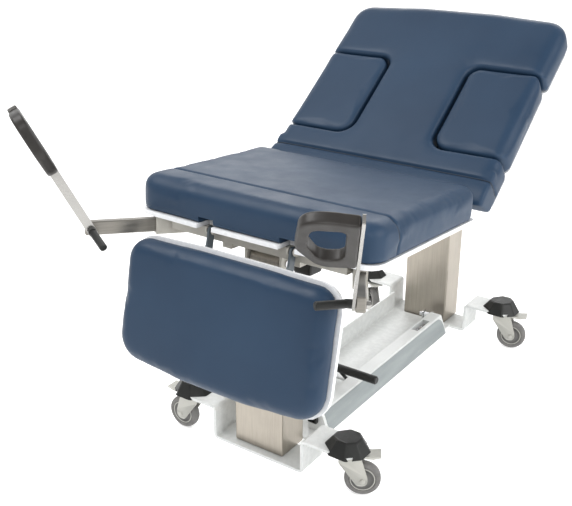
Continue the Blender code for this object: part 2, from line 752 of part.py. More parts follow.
def stirrup_sockets():
    """The square sockets that the stirrup arms slide in: their outsides and the bores to cut in them."""
    wall = 0.0055
    slack = 0.0005
    sockets = []
    bores = []
    for side_name, side in SIDES.items():
        turn = Matrix.Rotation(math.radians(side * STIRRUP_SPLAY_DEG[side_name]), 4, "Z")
        root = Vector((side * STIRRUP_ROOT.x, STIRRUP_ROOT.y, STIRRUP_ROOT.z + 0.004))
        middle = side * (ARM_WIDTH / 2 + BAR_PLATE / 2 + GAP)
        for margin, start, end, found in ((wall, -0.056, 0.080, sockets), (slack, -0.2, 0.2, bores)):
            wide = ARM_WIDTH / 2 + margin
            tall = ARM_HEIGHT / 2 + margin
            block = box((middle - wide, start, -tall), (middle + wide, end, tall))
            block.data.transform(Matrix.Translation(root) @ turn)
            found.append(block)
    return sockets, bores


def seat(deck):
    """The seat board with its edging and the cushion on it, both notched for the footrest's arms."""

    def outline(inset):
        side = SEAT_HALF_WIDTH - inset
        front = SEAT_FRONT_V + inset
        bow = 0.008
        return [
            (-side, SEAT_REAR_V, 0.015),
            (-side, front + bow, SEAT_CORNER),
            (-side / 3, front, 0.5),
            (side / 3, front, 0.5),
            (side, front + bow, SEAT_CORNER),
            (side, SEAT_REAR_V, 0.015),
        ]

    board = slab([rounded(outline(0.0))], "xy", *BOARD_W)
    cushion = slab([rounded(outline(0.003))], "xy", BOARD_W[1] + GAP, SEAT_TOP_W)
    soften(cushion, 0.018, 2, 50)
    bake(cushion)
    board_notches = []
    cushion_notches = []
    for side in (-1, 1):
        centre = side * FOOTREST_ARM_X
        board_notches.append(box((centre - 0.025, -0.20, 0.06), (centre + 0.025, -0.072, 0.10)))
        cushion_notches.append(box((centre - 0.025, -0.20, 0.06), (centre + 0.025, -0.072, 0.112)))
    place(cut(board, *board_notches), "seat_board", "white_edging", deck)
    place(cut(cushion, *cushion_notches), "seat_cushion", "navy_vinyl", deck)


def actuator(deck):
    """The backrest's lift: a motor and tube, and a rod whose slotted yoke pushes the crank."""
    axis_w = BACK_HINGE.z - 0.085
    mount_top = RAIL_W[0] + 0.004 - GAP
    body = rod((0, 0.150, axis_w), (0, 0.430, axis_w), 0.019, ROUND)
    motor = soften(box((-0.030, 0.150, axis_w - 0.085), (0.030, 0.215, axis_w + 0.004)), 0.008)
    mounts = [
        box((-0.010, 0.130, axis_w), (0.010, 0.160, mount_top)),
        box((-0.006, 0.392, axis_w), (0.006, 0.408, mount_top)),
    ]
    bore = rod((0, 0.250, axis_w), (0, 0.460, axis_w), 0.0102, BEARING)
    place(cut(join(body, motor, *mounts), bore), "actuator_body", "black_plastic", deck)

    slide = empty("actuator_slide", deck)
    crank = math.radians(CRANK_LEAD_DEG)
    pin_v = BACK_HINGE.y + CRANK_RADIUS * math.sin(crank)
    shaft = rod((0, 0.330, axis_w), (0, pin_v - 0.010, axis_w), 0.0100, BEARING)
    yoke = box((-0.008, pin_v - 0.018, axis_w - 0.016), (0.008, pin_v + 0.018, axis_w + 0.041))
    yoke = soften(yoke, 0.004, 1)
    slot = box((-0.02, pin_v - 0.0072, axis_w - 0.008), (0.02, pin_v + 0.0072, axis_w + 0.033))
    place(join(cut(yoke, slot), shaft), "actuator_rod", "chrome", slide)


# ---------------------------------------------------------------- backrest
def back_outline(inset):
    """The backrest's outline in (x, u), waisted where the side panels fit."""
    wide = BACK_HALF_WIDTH - inset
    waist = PANEL_INNER_X
    low, high = PANEL_U
    top = BACK_HEAD_U - inset
    right = [
        (wide, BACK_START_U, 0),
        (wide, low, 0.012),
        (waist, low, 0.055),
        (waist, high, 0.045),
        (wide, high, 0.012),
        (wide, top - HEADREST_SLOPE, HEADREST_CORNER),
        (wide / 3, top, 0.3),
    ]
    left = [(-x, u, radius) for x, u, radius in reversed(right)]
    return right + left


def backrest(back):
    """The backrest's frame, board and cushion."""
    parts = []
    low_w, high_w = BACK_RAIL_W
    for side in (-1, 1):
        low = side * BACK_RAIL_X - BACK_RAIL_WIDTH / 2
        high = low + BACK_RAIL_WIDTH
        parts.append(box((low, 0, low_w + 0.011), (high, 0.600, high_w)))
        parts.append(rod((low, 0, 0), (high, 0, 0), 0.014, BEARING))
    for centre in (0.185, 0.400, 0.585):
        reach = 0.240 if centre > 0.5 else 0.1375
        parts.append(box((-reach, centre - 0.012, low_w + 0.013), (reach, centre + 0.012, high_w - 0.001)))
    tube = rod((-BACK_RAIL_X, 0, 0), (BACK_RAIL_X, 0, 0), 0.012, ROUND)
    crank = math.radians(CRANK_LEAD_DEG - BACK_ANGLE_DEG)
    tip = Vector((0, CRANK_RADIUS * math.sin(crank), -CRANK_RADIUS * math.cos(crank)))
    half = Vector((0.003, 0, 0))
    cranks = []
    for centre in (-0.015, 0.015):
        side = Vector((centre, 0, 0))
        along = Matrix.Rotation(crank, 4, "X")
        plate = box((centre - 0.003, -0.010, -CRANK_RADIUS), (centre + 0.003, 0.010, 0))
        plate.data.transform(along)
        cranks.append(plate)
        cranks.append(rod(side + tip - half, side + tip + half, 0.010, ROUND))
    pin = rod(tip - Vector((0.017, 0, 0)), tip + Vector((0.017, 0, 0)), 0.0050, ROUND)
    lugs = []
    for side in (-1, 1):
        for centre, reach in ((0.185, 0.026), (0.400, -0.026)):
            end_x = side * PANEL_AXIS.x
            lug_low, lug_high = sorted((side * 0.130, side * 0.1470))
            lugs.append(box((lug_low, centre - 0.004, -0.008), (lug_high, centre + 0.004, 0.002)))
            start = Vector((end_x, centre, PANEL_AXIS.z))
            lugs.append(rod(start, start + Vector((0, reach, 0)), 0.0020, ROUND))
    frame = join(parts[0], *parts[1:], tube, *cranks, pin, *lugs)
    bores = [rod((side * 0.0620, 0, 0), (side * 0.1000, 0, 0), 0.0061, BEARING) for side in (-1, 1)]
    place(cut(frame, *bores), "back_frame", "beige_paint", back)

    board_start = 0.022
    shape = [(x, board_start if u == BACK_START_U else u, radius) for x, u, radius in back_outline(0.0)]
    place(slab([rounded(shape)], "xy", *BACK_BOARD_W), "back_board", "white_edging", back)

    cushion = slab([rounded(back_outline(0.003))], "xy", BACK_BOARD_W[1] + GAP, BACK_TOP_W)
    soften(cushion, 0.016, 2, 50)
    bake(cushion)
    place(join(cushion, roll()), "back_cushion", "navy_vinyl", back)


def roll():
    """The backrest's lower end, rounded about the hinge so that it turns past the seat."""
    radius = math.hypot(BACK_START_U, BACK_TOP_W)
    first = math.atan2(BACK_TOP_W, BACK_START_U)
    last = math.radians(118)
    steps = 8
    points = [Vector((0.060, BACK_BOARD_W[1] + GAP)), Vector((0.060, BACK_TOP_W - 0.006))]
    for step in range(steps + 1):
        turn = first + (last - first) * step / steps
        points.append(Vector((radius * math.cos(turn), radius * math.sin(turn))))
    points.append(Vector((-0.020, BACK_BOARD_W[1] + GAP)))
    half = BACK_HALF_WIDTH - 0.003
    item = slab([points], "yz", -half, half)
    soften(item, 0.010, 2, 60)
    bake(item)
    return item


def side_panels(back):
    """The two panels that drop away beside the chest: a board with its hinge knuckles, and a cushion."""
    for side_name, side in SIDES.items():
        axis = empty("side_panel_axis_" + side_name, back, (side * PANEL_AXIS.x, 0, PANEL_AXIS.z))
        inner = (PANEL_INNER_X + PANEL_SEAM - PANEL_AXIS.x) * side
        low_u = PANEL_U[0] + PANEL_SEAM
        high_u = PANEL_U[1] - PANEL_SEAM

        def outline(inset):
            outer = (BACK_HALF_WIDTH - PANEL_AXIS.x - inset) * side
            points = [
                (inner, low_u, 0.055),
                (outer, low_u, 0.030),
                (outer - side * 0.005, high_u, 0.030),
                (inner, high_u, 0.045),
            ]
            return rounded(points if side > 0 else points[::-1])

        lift = -PANEL_AXIS.z
        board = slab([outline(0.0)], "xy", BACK_BOARD_W[0] + lift, BACK_BOARD_W[1] + lift)
        tabs = []
        bores = []
        for start, end in ((0.1900, 0.2075), (0.3775, 0.3950)):
            tab_low, tab_high = sorted((0.0, side * 0.055))
            tabs.append(box((tab_low, start, 0.0062), (tab_high, end, BACK_BOARD_W[0] + lift + 0.002)))
            tabs.append(box((min(0, side * 0.0045), start, 0), (max(0, side * 0.0045), end, 0.009)))
            tabs.append(rod((0, start, 0), (0, end, 0), 0.0045, ROUND))
            bores.append(rod((0, start - 0.01, 0), (0, end + 0.01, 0), 0.0022, ROUND))
        board = cut(join(board, *tabs), *bores)
        place(board, "side_panel_board_" + side_name, "white_edging", axis)
        cushion = slab([outline(0.003)], "xy", BACK_BOARD_W[1] + GAP + lift, BACK_TOP_W + lift)
        place(soften(cushion, 0.014, 2, 50), "side_panel_cushion_" + side_name, "navy_vinyl", axis)


# ---------------------------------------------------------------- footrest
def footrest(leg):
    """The footrest's frame, board and cushion, drawn level and hung by their axis marker."""
    arm = [
        (-0.012, -0.012, 0.0115),
        (0.075, -0.012, 0.040),
        (0.300, 0.030, 0.006),
        (0.300, 0.0473, 0.003),
        (0.064, 0.0473, 0.020),
        (0.042, 0.012, 0.015),
        (-0.012, 0.012, 0.0115),
    ]
    flipped = [(-t, d, radius) for t, d, radius in reversed(arm)]
    half = FOOTREST_ARM_PLATE / 2
    arms = []
    bores = []
    for side in (-1, 1):
        middle = side * FOOTREST_ARM_X
        arms.append(slab([rounded(flipped)], "yz", middle - half, middle + half))
        bores.append(rod((middle - 0.01, 0, 0), (middle + 0.01, 0, 0), 0.0051, BEARING))
    ties = [
        rod((-FOOTREST_ARM_X, -0.270, 0.035), (FOOTREST_ARM_X, -0.270, 0.035), 0.009, ROUND),
        rod((-FOOTREST_ARM_X, -0.110, 0.022), (FOOTREST_ARM_X, -0.110, 0.022), 0.009, ROUND),
    ]
    place(cut(join(*arms, *ties), *bores), "footrest_frame", "frame_paint", leg)

    def outline(inset):
        side = FOOTREST_HALF_WIDTH - inset
        low = FOOTREST_V[0] + inset
        high = FOOTREST_V[1] - inset
        return rounded(
            [
                (-side, high - 0.006, 0.062),
                (-side - 0.004, low + 0.022, 0.075),
                (-side / 3, low, 0.3),
                (side / 3, low, 0.3),
                (side + 0.004, low + 0.022, 0.075),
                (side, high - 0.006, 0.062),
                (side / 3, high, 0.3),
                (-side / 3, high, 0.3),
            ]
        )

    place(slab([outline(0.0)], "xy", *FOOTREST_BOARD_W), "footrest_board", "white_edging", leg)
    cushion = slab([outline(0.004)], "xy", FOOTREST_BOARD_W[1] + GAP, FOOTREST_FACE_W)
    place(soften(cushion, 0.016, 2, 50), "footrest_cushion", "navy_vinyl", leg)


# ---------------------------------------------------------------- stirrups
def stirrup(side_name, deck):
    """One stirrup: a sliding arm, a leaning bar with its padded loop, and the lever that clamps them.
    The arm points along -Y of its own frame, and the lever stands on the bar's inner face."""
    side = SIDES[side_name]
    splay_deg = STIRRUP_SPLAY_DEG[side_name]
    splay = math.radians(splay_deg)
    outward = Vector((side * math.sin(splay), -math.cos(splay), 0))
    root_point = Vector((side * STIRRUP_ROOT.x, STIRRUP_ROOT.y, STIRRUP_ROOT.z))
    reach = STIRRUP_REACH[side_name]
    tip = root_point + outward * reach
    slide = empty("stirrup_slide_" + side_name, deck, tip, turn_z=side * splay_deg)

    middle = side * (ARM_WIDTH / 2 + BAR_PLATE / 2 + GAP)
    wide = ARM_WIDTH / 2
    tall = ARM_HEIGHT / 2
    arm = box((middle - wide, -0.016, 0.004 - tall), (middle + wide, 0.300, 0.004 + tall))
    soften(arm, 0.003, 1)
    bake(arm)
    hole = rod((middle - 0.03, 0, 0), (middle + 0.03, 0, 0), 0.0051, BEARING)
    place(cut(arm, hole), "stirrup_arm_" + side_name, "satin_steel", slide)

    lean = STIRRUP_LEAN_DEG[side_name]
    pivot = empty("stirrup_pivot_" + side_name, slide, turn_x=lean)
    half = BAR_WIDTH / 2
    outline = [
        (-half, -0.018, 0.010),
        (half, -0.018, 0.010),
        (half, BAR_LENGTH, 0.004),
        (-half, BAR_LENGTH, 0.004),
    ]
    bar = slab([rounded(outline)], "yz", -BAR_PLATE / 2, BAR_PLATE / 2)
    inner_face = -side * BAR_PLATE / 2
    outer_face = side * (BAR_PLATE / 2 + ARM_WIDTH)
    stud = rod((0, 0, 0), (outer_face + side * 0.012, 0, 0), 0.0050, BEARING)
    head = rod((outer_face + side * 0.001, 0, 0), (outer_face + side * 0.010, 0, 0), 0.0105, 6)
    boss = rod((inner_face + side * 0.001, 0, 0), (inner_face - side * 0.010, 0, 0), 0.0060, ROUND)
    place(join(bar, stud, head, boss), "stirrup_bar_" + side_name, "chrome", pivot)

    toward = -side
    loop_top = BAR_LENGTH - 0.004
    near = abs(inner_face) + GAP
    far = LOOP_REACH
    thick = 0.026
    outer = [
        (toward * near, LOOP_START, 0.004),
        (toward * far * 0.62, LOOP_START - 0.004, 0.050),
        (toward * far, LOOP_START + 0.070, 0.045),
        (toward * (far - 0.010), loop_top - 0.006, 0.040),
        (toward * far * 0.55, loop_top + 0.004, 0.120),
        (toward * near, loop_top - 0.004, 0.004),
    ]
    opening = [
        (toward * (near + thick), LOOP_START + thick + 0.006, 0.022),
        (toward * (far * 0.62), LOOP_START + thick, 0.030),
        (toward * (far - thick), LOOP_START + 0.082, 0.025),
        (toward * (far - thick - 0.006), loop_top - thick - 0.004, 0.020),
        (toward * (near + thick), loop_top - thick - 0.002, 0.015),
    ]
    if toward > 0:
        outer.reverse()
        opening.reverse()
    loop = slab([rounded(outer), rounded(opening)], "xz", -LOOP_DEPTH / 2, LOOP_DEPTH / 2)
    place(soften(loop, 0.005, 1, 50), "stirrup_loop_" + side_name, "black_pad", pivot)

    lever_axis = empty("lever_axis_" + side_name, pivot, turn_x=-lean)
    start = inner_face - side * 0.0003
    hub = rod((start, 0, 0), (start - side * 0.016, 0, 0), 0.0110, ROUND)
    tilt = math.radians(LEVER_TILT_DEG)
    spin = math.radians(LEVER_SPIN_DEG[side_name])
    direction = Vector(
        (-side * math.cos(tilt), -math.cos(spin) * math.sin(tilt), -math.sin(spin) * math.sin(tilt))
    )
    grip_start = Vector((start - side * 0.010, 0, 0))
    grip = soften(rod(grip_start, grip_start + direction * 0.078, 0.0105, ROUND), 0.0025, 1)
    bake(grip)
    socket = rod((start + side * 0.001, 0, 0), (start - side * 0.0105, 0, 0), 0.0063, ROUND)
    place(cut(join(hub, grip), socket), "stirrup_lever_" + side_name, "black_plastic", lever_axis)


# ---------------------------------------------------------------- the table
def build():
    for item in list(bpy.data.objects):
        bpy.data.objects.remove(item)
    table = bpy.data.collections.new("exam_table")
    bpy.context.scene.collection.children.link(table)
    root = empty("exam_table_root", None, ORIGIN_SHIFT)

    crossbeam("front", root)
    crossbeam("rear", root)
    base_tray(root)
    side_beam(root)
    inlet(root)
    foot_pedal(root)
    brake_linkage(root)
    for name, swivel_deg in SWIVEL_DEG.items():
        end, side_name = name.split("_")
        side = SIDES[side_name]
        stem = Vector((side * STEM_X, STEM_Y[end], 0))
        corner_cover("corner_cover_" + name, stem, side, root)
        caster(name, stem, swivel_deg, root)
    columns(root)

    deck = empty("tilt_axis", bpy.data.objects["lift_slide"], TILT_PIVOT, turn_x=DECK_TILT_DEG)
    deck_frame(deck)
    seat(deck)
    actuator(deck)
    back = empty("backrest_axis", deck, BACK_HINGE, turn_x=BACK_ANGLE_DEG)
    backrest(back)
    side_panels(back)
    footrest(empty("footrest_axis", deck, FOOTREST_HINGE, turn_x=FOOTREST_DROP_DEG))
    for side_name in SIDES:
        stirrup(side_name, deck)
    bpy.context.view_layer.update()


build()
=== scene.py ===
"""The looks of the medical exam table: padded vinyl cushions with seams, detailed casters and fittings,
and procedural materials on every CAD piece. Metres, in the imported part's own frame."""

import json
import math

import bmesh
import bpy
from mathutils import Matrix, Vector, noise


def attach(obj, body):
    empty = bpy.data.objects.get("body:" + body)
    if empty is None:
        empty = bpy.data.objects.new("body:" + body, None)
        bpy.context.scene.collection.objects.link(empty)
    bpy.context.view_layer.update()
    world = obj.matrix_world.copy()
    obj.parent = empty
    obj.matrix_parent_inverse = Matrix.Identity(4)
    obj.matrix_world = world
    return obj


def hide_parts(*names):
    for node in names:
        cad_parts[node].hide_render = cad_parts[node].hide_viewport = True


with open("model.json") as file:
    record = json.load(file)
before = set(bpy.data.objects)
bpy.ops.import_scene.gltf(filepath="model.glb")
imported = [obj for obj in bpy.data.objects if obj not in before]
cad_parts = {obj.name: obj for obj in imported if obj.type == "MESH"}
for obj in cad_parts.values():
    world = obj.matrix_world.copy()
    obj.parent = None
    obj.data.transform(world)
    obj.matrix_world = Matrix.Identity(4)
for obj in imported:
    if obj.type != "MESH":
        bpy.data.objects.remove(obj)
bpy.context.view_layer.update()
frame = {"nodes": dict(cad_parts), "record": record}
NODES = frame["nodes"]
SIDES = {"left": -1, "right": 1}

# ---------------------------------------------------------------- the part's own frames and sizes
ORIGIN_SHIFT = Vector((-0.008, 0.150, 0.0))
TILT_PIVOT = Vector((0.0, -0.480, 0.615))
DECK_TILT_DEG = -4.7
BACK_HINGE = Vector((0.0, 0.5666, 0.0852))
BACK_ANGLE_DEG = 41.0
FOOTREST_HINGE = Vector((0.0, -0.096, 0.0754))
FOOTREST_DROP_DEG = 81.7
STIRRUP_SPLAY_DEG = {"left": 35, "right": 31}
STIRRUP_ROOT = Vector((0.285, -0.0576, 0.046))
STIRRUP_REACH = {"left": 0.231, "right": 0.206}
STIRRUP_LEAN_DEG = {"left": 30, "right": 44.5}
STEM_X = 0.270
STEM_Y = {"front": -0.506, "rear": 0.534}
SWIVEL_DEG = {"front_left": 180, "front_right": 30, "rear_left": -39, "rear_right": 15}
BEAM_TOP = 0.145


def turn(axis, degrees):
    return Matrix.Rotation(math.radians(degrees), 4, axis)


TABLE = Matrix.Translation(ORIGIN_SHIFT)
DECK = TABLE @ Matrix.Translation(TILT_PIVOT) @ turn("X", DECK_TILT_DEG)
BACK = DECK @ Matrix.Translation(BACK_HINGE) @ turn("X", BACK_ANGLE_DEG)
LEG = DECK @ Matrix.Translation(FOOTREST_HINGE) @ turn("X", FOOTREST_DROP_DEG)


def stirrup_frame(name):
    """The frame of a stirrup's bar, with Z along the bar and X across the arm."""
    side = SIDES[name]
    splay_deg = STIRRUP_SPLAY_DEG[name]
    splay = math.radians(splay_deg)
    outward = Vector((side * math.sin(splay), -math.cos(splay), 0))
    root = Vector((side * STIRRUP_ROOT.x, STIRRUP_ROOT.y, STIRRUP_ROOT.z))
    place = Matrix.Translation(root + outward * STIRRUP_REACH[name])
    return DECK @ place @ turn("Z", side * splay_deg) @ turn("X", STIRRUP_LEAN_DEG[name])


# ---------------------------------------------------------------- materials
class Shader:
    """A material's node tree, built a node at a time."""

    def __init__(self, name):
        self.material = bpy.data.materials.new(name)
        self.material.use_nodes = True
        self.tree = self.material.node_tree
        self.surface = self.tree.nodes["Principled BSDF"]
        self.place = self.tree.nodes.new("ShaderNodeTexCoord").outputs["Object"]

    def node(self, kind, inputs, **settings):
        made = self.tree.nodes.new("ShaderNode" + kind)
        for key, value in settings.items():
            setattr(made, key, value)
        for key, value in inputs.items():
            if isinstance(value, bpy.types.NodeSocket):
                self.tree.links.new(value, made.inputs[key])
            else:
                made.inputs[key].default_value = value
        return made

    def noise(self, scale, detail=3.0, roughness=0.55, stretch=None, seed=0.0):
        place = self.place
        if stretch is not None or seed:
            settings = {"Vector": place, "Scale": stretch or (1, 1, 1), "Location": (seed, seed * 1.7, -seed)}
            place = self.node("Mapping", settings).outputs["Vector"]
        inputs = {"Vector": place, "Scale": scale, "Detail": detail, "Roughness": roughness}
        return self.node("TexNoise", inputs).outputs["Fac"]

    def cells(self, scale, feature="F1"):
        inputs = {"Vector": self.place, "Scale": scale}
        return self.node("TexVoronoi", inputs, feature=feature).outputs["Distance"]

    def ramp(self, factor, stops):
        made = self.node("ValToRGB", {"Fac": factor})
        elements = made.color_ramp.elements
        while len(elements) < len(stops):
            elements.new(0.5)
        for element, (position, colour) in zip(elements, stops):
            element.position = position
            element.color = (*colour, 1.0)
        return made.outputs["Color"]

    def span(self, factor, low, high, start=0.0, end=1.0):
        inputs = {"Value": factor, "From Min": start, "From Max": end, "To Min": low, "To Max": high}
        return self.node("MapRange", inputs).outputs["Result"]

    def mix(self, factor, first, second, blend="MIX"):
        made = self.tree.nodes.new("ShaderNodeMix")
        made.data_type = "RGBA"
        made.blend_type = blend
        for index, value in ((0, factor), (6, first), (7, second)):
            if isinstance(value, bpy.types.NodeSocket):
                self.tree.links.new(value, made.inputs[index])
            elif index == 0:
                made.inputs[index].default_value = value
            else:
                made.inputs[index].default_value = (*value, 1.0)
        return made.outputs[2]

    def bump(self, height, strength, distance, below=None):
        inputs = {"Height": height, "Strength": strength, "Distance": distance}
        if below is not None:
            inputs["Normal"] = below
        return self.node("Bump", inputs).outputs["Normal"]

    def edges(self, low=0.50, high=0.62):
        """Bright on convex edges, from the mesh's own curvature."""
        pointiness = self.tree.nodes.new("ShaderNodeNewGeometry").outputs["Pointiness"]
        return self.span(pointiness, 0.0, 1.0, low, high)

    def crevice_shade(self, reach):
        """Painted shade: dark where surfaces meet."""
        made = self.node("AmbientOcclusion", {"Distance": reach}, samples=8)
        return made.outputs["AO"]

    def finish(self, colour=None, roughness=None, normal=None, metallic=0.0, **extra):
        inputs = self.surface.inputs
        for key, value in (("Base Color", colour), ("Roughness", roughness), ("Normal", normal)):
            if isinstance(value, bpy.types.NodeSocket):
                self.tree.links.new(value, inputs[key])
            elif value is not None:
                inputs[key].default_value = (*value, 1.0) if key == "Base Color" else value
        inputs["Metallic"].default_value = metallic
        for key, value in extra.items():
            inputs[key.replace("_", " ").title().replace("Ior", "IOR")].default_value = value
        return self.material


def vinyl():
    """Navy upholstery vinyl: a fine leather grain, soft tone changes, a low sheen and a painted highlight along its
    convex edges.
    """
    s = Shader("upholstery_vinyl")
    tone = s.noise(3.0, 3.0)
    colour = s.ramp(tone, [(0.30, (0.0150, 0.0360, 0.0720)), (0.70, (0.0205, 0.0465, 0.0890))])
    speckle = s.noise(900.0, 2.0)
    colour = s.mix(s.span(speckle, 0.0, 0.18, 0.35, 0.75), colour, (0.011, 0.027, 0.056))
    # Painted highlight: the convex edges are lightened towards pale blue, standing in for the sheen along the rolled
    # edges.
    edge_sheen = s.span(s.edges(0.505, 0.56), 0.0, 0.14)
    colour = s.mix(edge_sheen, colour, (0.050, 0.092, 0.155))
    roughness = s.span(s.noise(11.0, 4.0), 0.36, 0.50, 0.3, 0.7)
    grain = s.cells(620.0)
    pores = s.noise(1500.0, 2.0)
    normal = s.bump(grain, 0.16, 0.0004)
    normal = s.bump(pores, 0.10, 0.0002, normal)
    normal = s.bump(s.noise(7.0, 2.0), 0.10, 0.004, normal)
    return s.finish(colour, roughness, normal, specular_ior_level=0.26)


def seam_shade_piping():
    # Painted shade: the piping is near-black, much darker than the vinyl, standing in for the shade in the seam's
    # groove.
    s = Shader("seam_piping_painted_shade")
    colour = s.ramp(s.noise(500.0, 2.0), [(0.3, (0.004, 0.009, 0.018)), (0.7, (0.007, 0.014, 0.027))])
    normal = s.bump(s.noise(1400.0, 2.0), 0.25, 0.0004)
    return s.finish(colour, s.span(s.noise(90.0), 0.45, 0.62), normal)


def painted(name, light, dark, gloss=(0.30, 0.42), chips=0.0, peel=260.0):
    """Powder coat: orange peel, faint tone changes, painted shade in the corners and chipped edges."""
    s = Shader(name)
    colour = s.ramp(s.noise(4.5, 4.0), [(0.30, dark), (0.70, light)])
    grime = s.span(s.noise(26.0, 5.0, 0.65), 0.0, 0.09, 0.52, 0.80)
    colour = s.mix(grime, colour, tuple(c * 0.62 for c in dark))
    # Painted shade: darker where surfaces meet, from ambient occlusion.
    corner = s.span(s.crevice_shade(0.030), 0.42, 0.0, 0.15, 0.85)
    colour = s.mix(corner, colour, tuple(c * 0.45 for c in dark))
    if chips:
        scattered = s.node("Math", {0: s.edges(0.52, 0.60), 1: s.span(s.noise(60.0), 0.0, 1.0, 0.45, 0.6)})
        scattered.operation = "MULTIPLY"
        colour = s.mix(s.span(scattered.outputs["Value"], 0.0, chips), colour, tuple(c * 1.25 for c in light))
    roughness = s.span(s.noise(30.0, 4.0), gloss[0], gloss[1], 0.3, 0.7)
    normal = s.bump(s.noise(peel, 2.0), 0.07, 0.0006)
    normal = s.bump(s.noise(38.0, 2.0), 0.03, 0.002, normal)
    return s.finish(colour, roughness, normal)


def brushed(name, light, dark, stretch, gloss=(0.28, 0.42)):
    """Satin steel with its brushing along one direction."""
    s = Shader(name)
    lines = s.noise(240.0, 4.0, 0.7, stretch=stretch)
    smudge = s.noise(6.0, 4.0, 0.6)
    colour = s.ramp(lines, [(0.25, dark), (0.75, light)])
    colour = s.mix(s.span(smudge, 0.0, 0.35, 0.45, 0.75), colour, tuple(c * 0.78 for c in dark))
    # Painted shade: darker where surfaces meet, from ambient occlusion.
    corner = s.span(s.crevice_shade(0.040), 0.35, 0.0, 0.15, 0.85)
    colour = s.mix(corner, colour, tuple(c * 0.35 for c in dark))
    roughness = s.span(lines, gloss[0], gloss[1], 0.3, 0.7)
    normal = s.bump(lines, 0.10, 0.0004)
    return s.finish(colour, roughness, normal, metallic=0.82)


def chromed(name, colour=(0.74, 0.74, 0.75), gloss=(0.07, 0.20)):
    """Polished plating with fingermarks."""
    s = Shader(name)
    marks = s.noise(18.0, 5.0, 0.65)
    fine = s.noise(420.0, 3.0, 0.6, stretch=(1.0, 1.0, 0.08))
    tone = s.ramp(marks, [(0.35, tuple(c * 0.86 for c in colour)), (0.65, colour)])
    # Painted shade: darker grey where surfaces meet, from ambient occlusion.
    corner = s.span(s.crevice_shade(0.012), 0.5, 0.0, 0.1, 0.8)
    tone = s.mix(corner, tone, (0.10, 0.10, 0.10))
    roughness = s.span(marks, gloss[0], gloss[1], 0.35, 0.75)
    return s.finish(tone, roughness, s.bump(fine, 0.04, 0.0002), metallic=1.0)


def moulded(name, light, dark, gloss=(0.42, 0.56), texture=900.0, depth=0.22, lustre=0.5):
    """Moulded plastic: a spark-eroded texture, faint flow marks and lighter convex edges."""
    s = Shader(name)
    colour = s.ramp(s.noise(9.0, 4.0), [(0.30, dark), (0.70, light)])
    # Lighter on every convex edge.
    lightening = s.span(s.edges(0.51, 0.60), 0.0, 0.30)
    colour = s.mix(lightening, colour, tuple(min(1.0, c * 1.9 + 0.02) for c in light))
    dust = s.span(s.noise(55.0, 5.0, 0.7), 0.0, 0.14, 0.55, 0.80)
    colour = s.mix(dust, colour, tuple(min(1.0, c * 1.4 + 0.02) for c in light))
    roughness = s.span(s.noise(45.0, 3.0), gloss[0], gloss[1], 0.3, 0.7)
    normal = s.bump(s.noise(texture, 2.0), depth, 0.0004)
    return s.finish(colour, roughness, normal, specular_ior_level=lustre)


def tyre():
    """Grey non-marking rubber, dusty on its tread."""
    s = Shader("tyre_rubber")
    colour = s.ramp(s.noise(30.0, 5.0, 0.65), [(0.30, (0.125, 0.122, 0.118)), (0.72, (0.180, 0.176, 0.170))])
    dirt = s.span(s.noise(140.0, 4.0, 0.7), 0.0, 0.45, 0.50, 0.75)
    colour = s.mix(dirt, colour, (0.235, 0.225, 0.205))
    roughness = s.span(s.noise(80.0), 0.62, 0.84, 0.3, 0.7)
    return s.finish(colour, roughness, s.bump(s.noise(700.0, 3.0), 0.30, 0.0005))


def label():
    """A blank printed strip: a pale field with soft bands of tone and scuffs."""
    s = Shader("label_strip")
    along = s.noise(9.0, 3.0, 0.5, stretch=(1.0, 0.35, 4.0))
    colour = s.ramp(along, [(0.30, (0.235, 0.262, 0.265)), (0.70, (0.305, 0.335, 0.338))])
    lightening = s.span(s.noise(160.0, 4.0, 0.7, stretch=(1, 0.2, 1)), 0.0, 0.35, 0.58, 0.80)
    colour = s.mix(lightening, colour, (0.42, 0.44, 0.44))
    return s.finish(colour, s.span(s.noise(40.0), 0.36, 0.52), s.bump(s.noise(900.0), 0.05, 0.0002))


VINYL = vinyl()
SHADE_PIPING = seam_shade_piping()
EDGING = painted("white_edging", (0.86, 0.87, 0.88), (0.78, 0.79, 0.81), (0.26, 0.38), 0.15, 520.0)
WHITE = painted("white_paint", (0.690, 0.702, 0.692), (0.620, 0.636, 0.626), (0.30, 0.42), 0.25)
BEIGE = painted("beige_paint", (0.520, 0.500, 0.450), (0.420, 0.400, 0.355), (0.34, 0.48), 0.25)
SLATE = painted("slate_paint", (0.095, 0.118, 0.135), (0.062, 0.080, 0.095), (0.34, 0.48), 0.30)
STEEL = brushed("satin_steel", (0.480, 0.437, 0.378), (0.360, 0.326, 0.276), (1.0, 1.0, 0.03))
# Painted shade: the stirrup arms get a darker copy of the satin steel, standing in for the shade on their top faces.
SHADED_ARM_STEEL = brushed("arm_steel_painted_shade", (0.300, 0.285, 0.255), (0.200, 0.188, 0.166), (0.05, 0.05, 1.0))
CHROME = chromed("polished_plating")
BAR_METAL = chromed("bar_metal", (0.46, 0.45, 0.43), (0.20, 0.34))
BLACK = moulded("black_plastic", (0.010, 0.011, 0.010), (0.006, 0.006, 0.006), (0.34, 0.48), lustre=0.30)
PAD = moulded("loop_pad", (0.030, 0.027, 0.024), (0.016, 0.014, 0.013), (0.30, 0.44), 480.0, 0.22, lustre=0.34)
GREY = moulded("grey_plastic", (0.370, 0.366, 0.334), (0.300, 0.296, 0.270), (0.34, 0.48))
HUB_GREY = moulded("hub_plastic", (0.150, 0.148, 0.142), (0.110, 0.108, 0.104), (0.40, 0.55))
TYRE = tyre()
LABEL = label()


def paint(item, material):
    item.data.materials.clear()
    item.data.materials.append(material)
    return item


# ---------------------------------------------------------------- mesh tools
def link(name, mesh):
    item = bpy.data.objects.new(name, mesh)
    bpy.context.scene.collection.objects.link(item)
    return item


def from_bmesh(name, shape):
    mesh = bpy.data.meshes.new(name)
    shape.to_mesh(mesh)
    shape.free()
    return link(name, mesh)


